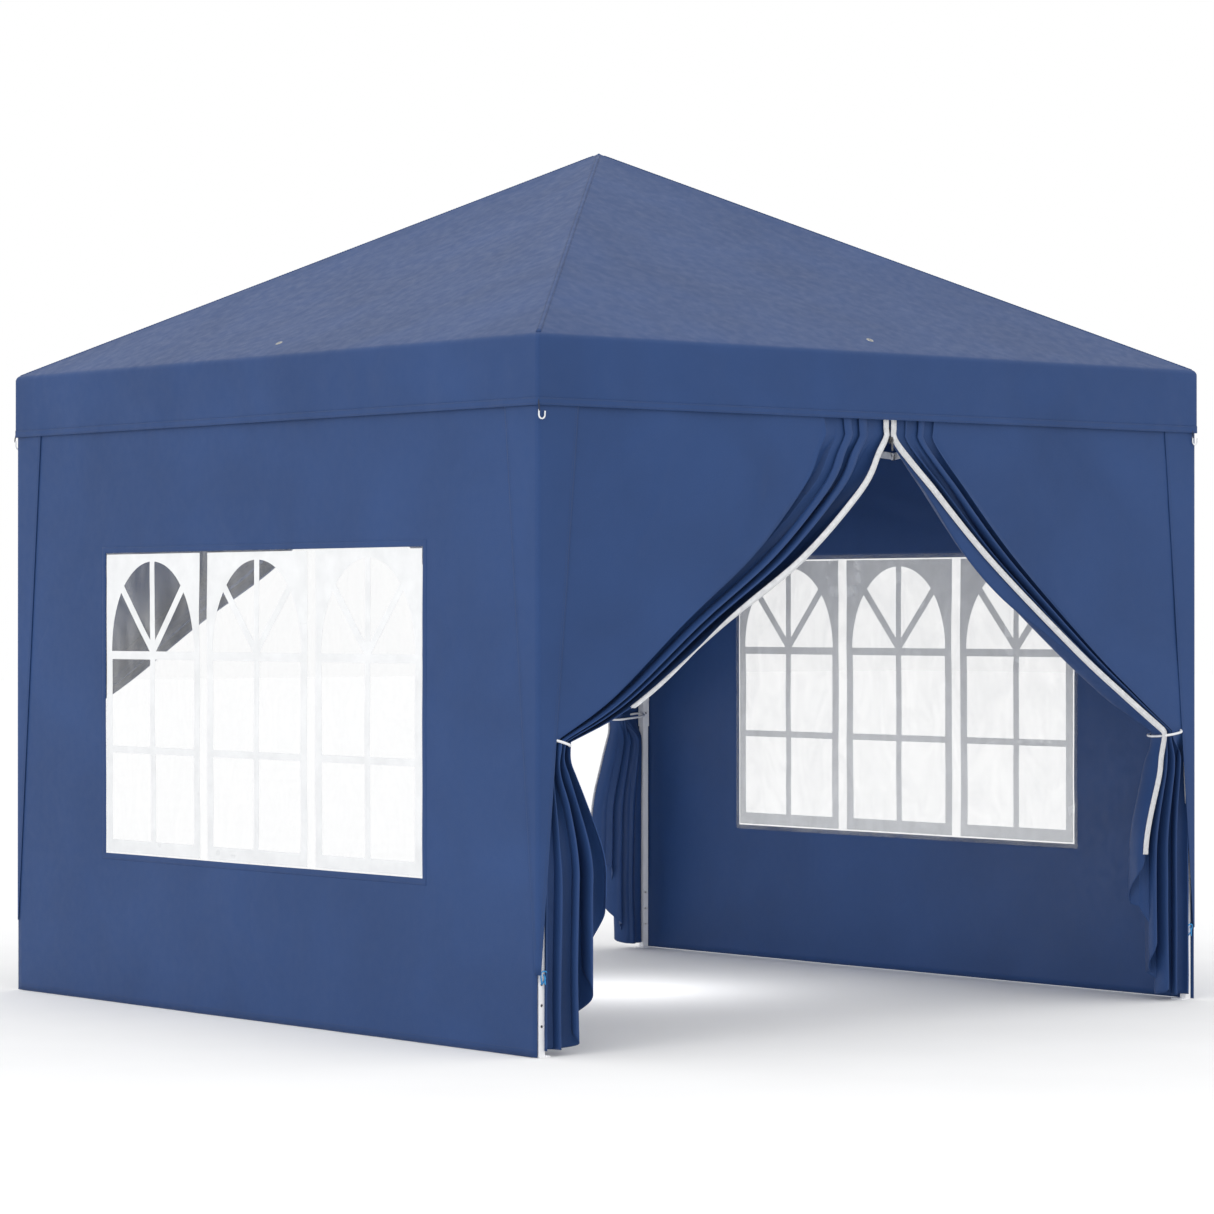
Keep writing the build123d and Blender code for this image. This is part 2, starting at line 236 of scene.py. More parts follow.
def stitching(name, runs, finish):
    """Rows of short stitches. A run is (place, length); place(distance) gives a point and a normal."""
    points, faces = [], []
    for place, length in runs:
        for k in range(int(length / STITCH_PITCH)):
            start, up = place(k * STITCH_PITCH)
            end, _ = place(k * STITCH_PITCH + STITCH)
            along = end - start
            if along.length < STITCH / 4:
                continue
            side = up.cross(along).normalized() * 0.0007
            top = up * 0.0006
            base = len(points)
            points += [start - side, start + side, end + side, end - side]
            points += [start + along * 0.2 + top, end - along * 0.2 + top]
            faces += [(base + a, base + b, base + c, base + d) for a, b, c, d in ((0, 4, 5, 3), (1, 2, 5, 4))]
            faces += [(base, base + 1, base + 4), (base + 2, base + 3, base + 5)]
    return mesh_object(name, points, faces, finish)


# ---------------------------------------------------------------- materials
class Finish:
    """A node material under construction."""

    def __init__(self, name):
        self.made = bpy.data.materials.new(name)
        self.made.use_nodes = True
        self.tree = self.made.node_tree
        self.shader = self.tree.nodes["Principled BSDF"]
        self.coords = self.tree.nodes.new("ShaderNodeTexCoord").outputs["Object"]

    def set(self, **values):
        for socket, value in values.items():
            self.shader.inputs[socket.replace("_", " ")].default_value = value

    def noise(self, scale, detail=3.0, distortion=0.0, stretch=None):
        node = self.tree.nodes.new("ShaderNodeTexNoise")
        node.inputs["Scale"].default_value = scale
        node.inputs["Detail"].default_value = detail
        node.inputs["Distortion"].default_value = distortion
        source = self.coords
        if stretch:
            mapping = self.tree.nodes.new("ShaderNodeMapping")
            mapping.inputs["Scale"].default_value = stretch
            self.tree.links.new(self.coords, mapping.inputs["Vector"])
            source = mapping.outputs["Vector"]
        self.tree.links.new(source, node.inputs["Vector"])
        return node.outputs["Fac"]

    def wave(self, scale, direction):
        node = self.tree.nodes.new("ShaderNodeTexWave")
        node.bands_direction = direction
        node.inputs["Scale"].default_value = scale
        self.tree.links.new(self.coords, node.inputs["Vector"])
        return node.outputs["Fac"]

    def math(self, operation, a, b=0.0):
        node = self.tree.nodes.new("ShaderNodeMath")
        node.operation = operation
        for socket, value in zip(node.inputs, (a, b)):
            if isinstance(value, (int, float)):
                socket.default_value = value
            else:
                self.tree.links.new(value, socket)
        return node.outputs[0]

    def between(self, source, low, high):
        node = self.tree.nodes.new("ShaderNodeMapRange")
        node.inputs["From Min"].default_value = 0.3
        node.inputs["From Max"].default_value = 0.7
        node.inputs["To Min"].default_value = low
        node.inputs["To Max"].default_value = high
        self.tree.links.new(source, node.inputs["Value"])
        return node.outputs["Result"]

    def tint(self, source, dark, light):
        """Base colour between two colours, by a grey source."""
        node = self.tree.nodes.new("ShaderNodeValToRGB")
        node.color_ramp.elements[0].position = 0.30
        node.color_ramp.elements[1].position = 0.70
        node.color_ramp.elements[0].color = (*dark, 1)
        node.color_ramp.elements[1].color = (*light, 1)
        self.tree.links.new(source, node.inputs["Fac"])
        self.tree.links.new(node.outputs["Color"], self.shader.inputs["Base Color"])

    def bump(self, *layers):
        """Height layers as (source, distance in metres, strength), the first one underneath."""
        below = None
        for source, distance, strength in layers:
            node = self.tree.nodes.new("ShaderNodeBump")
            node.inputs["Distance"].default_value = distance
            node.inputs["Strength"].default_value = strength
            self.tree.links.new(source, node.inputs["Height"])
            if below:
                self.tree.links.new(below, node.inputs["Normal"])
            below = node.outputs["Normal"]
        self.tree.links.new(below, self.shader.inputs["Normal"])

    def drive(self, socket, source):
        self.tree.links.new(source, self.shader.inputs[socket])


def shade(colour, factor):
    return tuple(c * factor for c in colour)


BLUE = (0.0232, 0.0585, 0.172)


def make_fabric(name, colour):
    """Coated polyester: a close plain weave, slight mottling, storage creases and a soft sheen."""
    f = Finish(name)
    cloud = f.noise(2.4, 5.0, 0.4)
    grain = f.noise(420.0, 2.0)
    mottle = f.math("ADD", f.math("MULTIPLY", cloud, 0.62), f.math("MULTIPLY", grain, 0.38))
    f.tint(mottle, shade(colour, 0.86), shade(colour, 1.14))
    fold = f.math("ABSOLUTE", f.math("SUBTRACT", f.noise(2.6, 2.0, 0.7), 0.5))
    fold = f.math("MINIMUM", f.math("MULTIPLY", fold, 16.0), 1.0)
    weave = f.math("ADD", f.wave(260.0, "Z"), f.math("MULTIPLY", f.wave(260.0, "DIAGONAL"), 0.5))
    dents = f.noise(7.0, 3.0, 0.3)
    f.bump((fold, 0.0020, 0.12), (dents, 0.004, 0.10), (f.math("ADD", weave, grain), 0.0003, 0.08))
    f.drive("Roughness", f.between(f.noise(30.0, 3.0), 0.44, 0.56))
    f.set(Specular_IOR_Level=0.18, Sheen_Weight=0.02, Sheen_Roughness=0.45)
    return f.made


def make_plain(name, dark, light, scale, roughness, metallic=0.0, bump=0.0002, specular=0.5, stretch=None):
    """A small hard or woven part with a fine grain."""
    f = Finish(name)
    grain = f.noise(scale, 4.0, stretch=stretch)
    f.tint(grain, dark, light)
    f.bump((grain, bump, 0.35))
    f.drive("Roughness", f.between(f.noise(scale / 4, 2.0), roughness - 0.07, roughness + 0.07))
    f.set(Metallic=metallic, Specular_IOR_Level=specular)
    return f.made


def make_film():
    """Clear vinyl, a little cloudy, with slow ripples."""
    f = Finish("window_film")
    cloud = f.noise(7.0, 5.0, 1.2, stretch=(1, 1, 0.6))
    f.tint(cloud, (0.70, 0.71, 0.72), (0.79, 0.80, 0.81))
    f.bump((cloud, 0.010, 0.30), (f.noise(26.0, 3.0, 0.8), 0.003, 0.2))
    f.drive("Alpha", f.between(cloud, 0.08, 0.18))
    f.set(Roughness=0.16, IOR=1.46, Specular_IOR_Level=0.5)
    return f.made


def make_zip_tape():
    """White woven tape with a close twill."""
    f = Finish("zip_tape")
    twill = f.wave(380.0, "DIAGONAL")
    f.tint(f.noise(60.0, 3.0), (0.60, 0.61, 0.63), (0.80, 0.81, 0.83))
    f.bump((twill, 0.0004, 0.4))
    f.set(Roughness=0.72, Specular_IOR_Level=0.25, Sheen_Weight=0.1)
    return f.made


fabric = make_fabric("blue_fabric", BLUE)
thread = make_plain("blue_thread", shade(BLUE, 0.62), shade(BLUE, 0.9), 900, 0.55)
film = make_film()
print_white = make_plain("printed_white", (0.74, 0.75, 0.76), (0.82, 0.83, 0.84), 14, 0.45, bump=0.001)
tape_white = make_zip_tape()
coil_white = make_plain("zip_coil", (0.52, 0.53, 0.55), (0.72, 0.73, 0.74), 700, 0.4, stretch=(1, 1, 3))
cord_white = make_plain("white_cord", (0.72, 0.73, 0.75), (0.90, 0.90, 0.91), 520, 0.6, bump=0.0006)
cord_blue = make_plain("sky_blue_cord", (0.01, 0.20, 0.52), (0.03, 0.36, 0.76), 600, 0.5, bump=0.0005)
# Dark cord for the hooks; the same material is also the painted shade in the eyelet holes.
cord_dark_and_hole_shade = make_plain("dark_cord_and_hole_shade", (0.006, 0.012, 0.035), (0.015, 0.028, 0.07), 600, 0.6)
hook_white = make_plain("hook_plastic", (0.74, 0.75, 0.77), (0.86, 0.87, 0.88), 80, 0.3)
zip_metal = make_plain("zip_slider_metal", (0.05, 0.05, 0.055), (0.16, 0.16, 0.17), 160, 0.34, metallic=0.9)
eyelet_metal = make_plain("eyelet_metal", (0.30, 0.30, 0.28), (0.46, 0.45, 0.42), 220, 0.36, metallic=0.9)
leg_steel = make_plain("leg_steel", (0.85, 0.86, 0.88), (0.93, 0.93, 0.95), 140, 0.36, stretch=(1, 1, 0.08))
bar_steel = make_plain("bar_steel", (0.62, 0.63, 0.66), (0.74, 0.75, 0.78), 120, 0.38)
bracket_plastic = make_plain(
    "bracket_plastic", (0.014, 0.014, 0.015), (0.030, 0.030, 0.032), 900, 0.52, bump=0.0003
)
button_metal = make_plain("button_metal", (0.45, 0.45, 0.46), (0.66, 0.66, 0.67), 300, 0.28, metallic=1.0)
pole_metal = make_plain(
    "pole_metal", (0.50, 0.51, 0.52), (0.66, 0.67, 0.68), 150, 0.34, metallic=0.6, stretch=(1, 1, 0.08)
)

CAD_FINISHES = (
    ("upper_leg", leg_steel),
    ("lower_leg", leg_steel),
    ("leg_button", button_metal),
    ("pull_pin", button_metal),
    ("top_bracket", bracket_plastic),
    ("slider", bracket_plastic),
    ("mid_bracket", bracket_plastic),
    ("centre_bracket", bracket_plastic),
    ("roof_pole", pole_metal),
)


def finish_cad_nodes():
    for name, node in frame["nodes"].items():
        made = next((m for start, m in CAD_FINISHES if name.startswith(start)), None)
        if made is None:
            made = bar_steel if "_bar_" in name else fabric
        node.data.materials.clear()
        node.data.materials.append(made)


# ---------------------------------------------------------------- how the soft pieces follow the fold
def on_roof(obj):
    """The piece rides on the front left leg, and each point follows the other legs and the roof pole."""
    groups = {
        "front_right_leg": lambda x, y, rise: 0.5 + x / (2 * HALF) - rise / 2,
        "back_left_leg": lambda x, y, rise: 0.5 + y / (2 * HALF) - rise / 2,
        "centre_bracket_bottom": lambda x, y, rise: rise,
    }
    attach(obj, "front_left_leg")
    for body, weight in groups.items():
        group = obj.vertex_groups.new(name=body)
        for v in obj.data.vertices:
            rise = max(0.0, 1 - max(abs(v.co.x), abs(v.co.y)) / HALF)
            group.add([v.index], min(1.0, max(0.0, weight(v.co.x, v.co.y, rise))), "REPLACE")
        hook = obj.modifiers.new("with_" + body, "HOOK")
        hook.object = frame["bodies"][body]
        hook.vertex_group = body
        hook.falloff_type = "NONE"
        hook.matrix_inverse.identity()
    return obj


def on_wall(obj, side):
    """The piece rides on a front leg."""
    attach(obj, "front_left_leg" if side < 0 else "front_right_leg")
    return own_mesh(obj)


def on_door(obj, corner):
    """The piece rides on the door's leg."""
    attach(obj, corner + "_leg")
    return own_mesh(obj)


# ---------------------------------------------------------------- roof and valance: one sheet
SLOPE = math.atan2(APEX_Z - EAVE_Z, HALF)
SLOPE_RUN = math.hypot(APEX_Z - EAVE_Z, HALF) - EAVE_R * math.tan((math.pi / 2 - SLOPE) / 2)
EAVE_ARC = EAVE_R * (math.pi / 2 - SLOPE)
EAVE_BOTTOM_Z = EAVE_Z - EAVE_R * math.tan((math.pi / 2 - SLOPE) / 2)
ROOF_RUN = SLOPE_RUN + EAVE_ARC + EAVE_BOTTOM_Z - VALANCE_BOTTOM


def roof_profile(run):
    """Half width, height and outward slope angle, at a distance along the cloth from the apex."""
    if run < SLOPE_RUN:
        return run * math.cos(SLOPE), APEX_Z - run * math.sin(SLOPE), SLOPE
    if run < SLOPE_RUN + EAVE_ARC:
        angle = SLOPE + (run - SLOPE_RUN) / EAVE_R
        return HALF - EAVE_R * (1 - math.sin(angle)), EAVE_BOTTOM_Z + EAVE_R * math.cos(angle), angle
    return HALF, EAVE_BOTTOM_Z - (run - SLOPE_RUN - EAVE_ARC), math.pi / 2


def square_point(side, share, half):
    """A point round a square with rounded corners, and the direction outward there."""
    x, y = -half + 2 * half * share, -half
    radius = min(CORNER_R, half)
    out = Vector((0, -1))
    over = Vector((max(abs(x) - (half - radius), 0), max(abs(y) - (half - radius), 0)))
    if over.x > 0 and over.y > 0:
        over = over.normalized() * radius
        x = math.copysign(half - radius + over.x, x)
        y = math.copysign(half - radius + over.y, y)
        out = Vector((math.copysign(over.x, x), math.copysign(over.y, y))).normalized()
    for _ in range(side):
        x, y = -y, x
        out = Vector((-out.y, out.x))
    return x, y, out


def roof_point(side, share, run, lift=0.0):
    half, z, angle = roof_profile(run)
    x, y, out = square_point(side, share, max(half, 0.0015))
    normal = Vector((out.x * math.sin(angle), out.y * math.sin(angle), math.cos(angle)))
    along = (share - 0.5) * 2 * half
    free = smooth(min(share, 1 - share) * 2 * half / 0.10)
    if run < SLOPE_RUN:
        down = run / SLOPE_RUN
        sag = ROOF_SAG * math.sin(math.pi * share) * math.sin(math.pi * down)
        wave = 0.0015 * ripple(along, run, side * 5.1, 0.36)
        wave += 0.0008 * crease(along + run * 0.5, run, side * 3.7, 0.42)
        lift += free * (wave * smooth((SLOPE_RUN - run) / 0.08) - sag)
    else:
        low = smooth((run - SLOPE_RUN) / 0.10)
        wave = 0.0045 * ripple(along, run * 0.7, side * 5.1 + 40, 0.24)
        wave += 0.0022 * ripple(along, run, side + 60, 0.075)
        lift += free * low * (wave + 0.0030 * crease(along + z, z - along * 0.3, side * 2.3 + 20, 0.20))
    return Vector((x, y, z)) + normal * lift, normal


def side_shares(count):
    """Shares along a side of the roof, close together at the corners."""
    return [0.5 - 0.5 * math.cos(math.pi * i / count) for i in range(count)]


def make_roof():
    shares = side_shares(128)
    runs = [0.0, 0.004, 0.012, *spread(0.03, SLOPE_RUN, 0.033)]
    runs += [SLOPE_RUN + EAVE_ARC * i / 7 for i in range(1, 8)]
    runs += spread(SLOPE_RUN + EAVE_ARC, ROOF_RUN, 0.016)[1:]
    points = [roof_point(side, share, run)[0] for run in runs for side in range(4) for share in shares]
    roof = mesh_object("roof_canopy", points, face_rows(len(runs), 4 * len(shares), closed=True), fabric)
    on_roof(roof)
    thicken(roof)

    hem_runs = spread(ROOF_RUN - HEM, ROOF_RUN + 0.0004, 0.006)
    points = [
        roof_point(side, share, run, 0.0014)[0] for run in hem_runs for side in range(4) for share in shares
    ]
    hem = mesh_object("valance_hem", points, face_rows(len(hem_runs), 4 * len(shares), closed=True), fabric)
    on_roof(hem)
    thicken(hem)

    # Each hip is a lapped seam: a narrow band over the corner of the slope, and two rows of stitches
    seam_runs = spread(0.02, SLOPE_RUN, 0.03)
    offsets = (-0.011, -0.0105, -0.004, 0.0, 0.004, 0.0105, 0.011)
    lifts = (0.0004, 0.0016, 0.0018, 0.0018, 0.0018, 0.0016, 0.0004)
    for side in range(4):
        points = [
            hip_point(side, run, across, lift)[0] for run in seam_runs for across, lift in zip(offsets, lifts)
        ]
        seam = mesh_object(f"hip_seam_{side + 1}", points, face_rows(len(seam_runs), len(offsets)), fabric)
        on_roof(seam)
        thicken(seam, 0.0006)

    rows = []
    for side in range(4):
        for across in (-0.008, 0.008):
            rows.append((lambda d, s=side, a=across: hip_point(s, 0.03 + d, a, 0.0022), SLOPE_RUN - 0.04))
        for up in (0.005, HEM - 0.004):
            rows.append(
                (lambda d, s=side, u=up: roof_point(s, d / (2 * HALF), ROOF_RUN - u, 0.0021), 2 * HALF)
            )
    stitches = on_roof(stitching("roof_stitches", rows, thread))

    eyelets = [make_eyelet(side) for side in range(4)]
    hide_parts("roof_cover")


def hip_point(side, run, across, lift):
    """A point beside the hip that starts a side: across is the distance along the slope from the hip."""
    half = max(roof_profile(run)[0], 0.02)
    share = min(1.0, abs(across) / (2 * half))
    if across < 0:
        return roof_point((side - 1) % 4, 1 - share, run, lift)
    return roof_point(side, share, run, lift)


def make_eyelet(side):
    """A pressed metal eyelet in the middle of a panel, a little above the eave, with painted shade for its
    hole.
    """
    middle, normal = roof_point(side, 0.5, SLOPE_RUN - 0.100)
    across = Vector((0, 0, 1)).cross(normal).normalized()
    up = normal.cross(across)
    turns = 40
    outline = ((0.0046, -0.0012), (0.0052, 0.0004), (0.0072, 0.0022),
               (0.0105, 0.0021), (0.0128, 0.0005), (0.0130, 0.0))
    points = []
    for radius, height in outline:
        for k in range(turns):
            a = 2 * math.pi * k / turns
            spot = middle + across * radius * math.cos(a) + up * radius * math.sin(a)
            points.append(spot + normal * height)
    faces = face_rows(len(outline), turns, closed=True)
    ring = mesh_object(f"roof_eyelet_{side + 1}", points, faces, eyelet_metal)
    # A near-black disc over the middle of the eyelet: painted shade standing in for the hole, which is not
    # cut through the roof.
    hole_shade_rings = ((0.0005, 0.0009), (0.0030, 0.0008), (0.0050, 0.0006))
    angles = [2 * math.pi * k / turns for k in range(turns)]
    base = [middle + across * r * math.cos(a) + up * r * math.sin(a) + normal * h
            for r, h in hole_shade_rings for a in angles]
    faces = face_rows(len(hole_shade_rings), turns, closed=True)
    dark = mesh_object(f"roof_eyelet_painted_hole_shade_{side + 1}", base, faces, cord_dark_and_hole_shade)
    on_roof(dark)
    on_roof(ring)
    return ring


# ---------------------------------------------------------------- window walls
def wall_point(side, y, z, lift=0.0):
    """A point on a window wall. It hangs nearly flat, pulled straight beside the legs."""
    free = smooth((WALL_END - 0.17 - abs(y)) / 0.30)
    low = smooth((1.95 - z) / 0.35)
    wave = 0.0050 * ripple(y, z * 0.6, side * 11.0, 0.62) + 0.0024 * ripple(y, z * 0.8, side * 17.0, 0.21)
    line = 0.0035 * crease(y + 0.45 * z, z - 0.2 * y, side * 4.0, 0.34)
    lift += free * low * (wave + line)
    return Vector((side * (WALL_OUT - CLOTH / 2 + lift), y, z)), Vector((side, 0, 0))


def make_wall(side, name):
    ys = [*spread(-WALL_END, pane_low.y, 0.024), *spread(pane_low.y, pane_high.y, 0.026)[1:]]
    ys += spread(pane_high.y, WALL_END, 0.024)[1:]
    zs = [*spread(WALL_FOOT_Z, pane_low.z, 0.024), *spread(pane_low.z, pane_high.z, 0.026)[1:]]
    zs += spread(pane_high.z, WALL_TOP - 0.006, 0.024)[1:]

    def in_window(row, column):
        y, z = (ys[column] + ys[column + 1]) / 2, (zs[row] + zs[row + 1]) / 2
        return pane_low.y < y < pane_high.y and pane_low.z < z < pane_high.z

    points = [wall_point(side, y, z)[0] for z in zs for y in ys]
    wall = mesh_object(f"side_wall_{name}", points, face_rows(len(zs), len(ys), skip=in_window), fabric)
    on_wall(wall, side)
    thicken(wall)
    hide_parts(f"window_wall_{name}")

    # Bound edge round the window, and stitching round the window and along a turned hem at the foot
    border = make_window_border(side, name)
    rows = []
    width, height = pane_high.y - pane_low.y, pane_high.z - pane_low.z
    for inset in (0.005, 0.015):
        low_y, low_z = pane_low.y - inset, pane_low.z - inset
        high_z = pane_high.z + inset
        rows.append((lambda d, a=low_y, z=low_z: wall_point(side, a + d, z, 0.0016), width + 2 * inset))
        rows.append((lambda d, a=low_y, z=high_z: wall_point(side, a + d, z, 0.0016), width + 2 * inset))
        for edge in (low_y, pane_high.y + inset):
            rows.append((lambda d, y=edge, z=low_z: wall_point(side, y, z + d, 0.0016), height + 2 * inset))
    for inset in (0.006, 0.022):
        rows.append(
            (lambda d, i=inset: wall_point(side, -WALL_END + d, WALL_FOOT_Z + i, 0.0007), 2 * WALL_END)
        )
    stitches = on_wall(stitching(f"side_wall_stitches_{name}", rows, thread), side)


def make_window_border(side, name):
    """The folded binding round the window, a little proud of the wall."""
    steps = (-0.0015, 0.0, 0.002, 0.010, 0.018, 0.0195)
    lifts = (-0.0006, 0.0012, 0.0014, 0.0013, 0.0012, 0.0002)
    corners = [(pane_low.y, pane_low.z), (pane_high.y, pane_low.z),
               (pane_high.y, pane_high.z), (pane_low.y, pane_high.z)]
    points = []
    ring = []
    for (y0, z0), (y1, z1) in zip(corners, corners[1:] + corners[:1]):
        length = math.hypot(y1 - y0, z1 - z0)
        ring += [(mix(y0, y1, s / length), mix(z0, z1, s / length)) for s in spread(0, length, 0.026)[:-1]]
    middle_y, middle_z = (pane_low.y + pane_high.y) / 2, (pane_low.z + pane_high.z) / 2
    half_y, half_z = pane_high.y - middle_y, pane_high.z - middle_z
    for step, lift in zip(steps, lifts):
        for y, z in ring:
            out_y = middle_y + (y - middle_y) * (half_y + step) / half_y
            out_z = middle_z + (z - middle_z) * (half_z + step) / half_z
            points.append(wall_point(side, out_y, out_z, lift)[0])
    faces = face_rows(len(steps), len(ring), closed=True)
    border = mesh_object(f"window_border_{name}", points, faces, fabric)
    on_wall(border, side)
    return thicken(border, 0.0008)


def film_point(side, y, z, lift=0.0):
    """A point on the window film, which bulges a little between its sewn edges."""
    inside = min(y - pane_low.y, pane_high.y - y, z - pane_low.z, pane_high.z - z)
    free = smooth(inside / 0.06)
    bulge = 0.0026 * ripple(y, z, side * 23.0, 0.30) + 0.0012 * ripple(y, z, side * 31.0, 0.09)
    return wall_point(side, y, z, lift - 0.0018 + free * bulge)[0]


def make_film_sheet(side, name):
    lap = 0.014
    ys = spread(pane_low.y - lap, pane_high.y + lap, 0.020)
    zs = spread(pane_low.z - lap, pane_high.z + lap, 0.020)
    points = [film_point(side, y, z) for z in zs for y in ys]
    sheet = mesh_object(f"window_film_{name}", points, face_rows(len(zs), len(ys)), film)
    on_wall(sheet, side)
    thicken(sheet, 0.0005)
    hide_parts(f"window_pane_{name}")
    printed = make_window_print(side, name)


# The print on the film: three arched frames side by side
GAP = 0.045
MARGIN = 0.007
STILE = 0.035
MUNTIN = 0.028
ARCH_TOP = 0.033
ARCH_HALF = 0.250
ARCH_BASE = 0.339
MID_BAR = (0.665, 0.689)
BOTTOM_RAIL = 0.044
DIAGONAL = math.radians(49.7)


def frame_outlines(width, height):
    """Outlines of one printed frame and of its clear panes: x from its middle, y down from its top."""
    half = width / 2
    outlines = [[(-half, MARGIN), (half, MARGIN), (half, height - MARGIN), (-half, height - MARGIN)]]
    rise = ARCH_BASE - ARCH_TOP
    bar = MUNTIN / 2
    across = (-math.sin(DIAGONAL), math.cos(DIAGONAL))

    def arch(angle):
        return ARCH_HALF * math.cos(angle), rise * math.sin(angle)

    def offset(angle):
        x, y = arch(angle)
        return x * across[0] + y * across[1]

    angles = [math.pi / 2 * i / 240 for i in range(241)]
    outer = [a for a in angles if offset(a) <= -bar]
    inner = [a for a in angles if offset(a) >= bar and arch(a)[0] >= bar]
    low_corner = (bar, (bar + bar * math.sin(DIAGONAL)) / math.cos(DIAGONAL))
    top_corner = (bar, rise * math.sin(math.acos(bar / ARCH_HALF)))
    sectors = [
        [(bar / math.sin(DIAGONAL), 0.0), *(arch(a) for a in outer[::8]), arch(outer[-1])],
        [low_corner, arch(inner[0]), *(arch(a) for a in inner[8::8]), top_corner],
    ]
    for sign in (-1, 1):
        outlines += [[(sign * x, ARCH_BASE - y) for x, y in sector] for sector in sectors]
        inside, outside = sign * bar, sign * (half - STILE)
        for top, bottom in ((ARCH_BASE + MUNTIN, MID_BAR[0]), (MID_BAR[1], height - MARGIN - BOTTOM_RAIL)):
            outlines.append([(inside, top), (outside, top), (outside, bottom), (inside, bottom)])
    return outlines


def make_window_print(side, name):
    width = (pane_high.y - pane_low.y - 2 * MARGIN - 2 * GAP) / 3
    height = pane_high.z - pane_low.z
    curve = bpy.data.curves.new("print_outline", "CURVE")
    curve.dimensions = "2D"
    curve.fill_mode = "BOTH"
    for k in (-1, 0, 1):
        for outline in frame_outlines(width, height):
            spline = curve.splines.new("POLY")
            spline.points.add(len(outline) - 1)
            for target, (x, down) in zip(spline.points, outline):
                target.co = (x + k * (width + GAP), pane_high.z - down, 0, 1)
            spline.use_cyclic_u = True
    holder = add_object("print_outline", curve)
    bpy.context.view_layer.update()
    flat = bpy.data.meshes.new_from_object(holder.evaluated_get(bpy.context.evaluated_depsgraph_get()))
    bpy.data.objects.remove(holder)
    work = bmesh.new()
    work.from_mesh(flat)
    cuts = [((x, 0, 0), (1, 0, 0)) for x in spread(pane_low.y, pane_high.y, 0.05)[1:-1]]
    cuts += [((0, z, 0), (0, 1, 0)) for z in spread(pane_low.z, pane_high.z, 0.05)[1:-1]]
    for place, normal in cuts:
        everything = work.verts[:] + work.edges[:] + work.faces[:]
        bmesh.ops.bisect_plane(work, geom=everything, plane_co=place, plane_no=normal)
    bmesh.ops.remove_doubles(work, verts=work.verts[:], dist=0.00005)
    for v in work.verts:
        v.co = film_point(side, v.co.x, v.co.y, 0.0007)
    made = bpy.data.meshes.new(f"window_print_{name}")
    work.to_mesh(made)
    work.free()
    made.materials.append(print_white)
    printed = add_object(f"window_print_{name}", made)
    on_wall(printed, side)
    thicken(printed, 0.0003)
    return printed


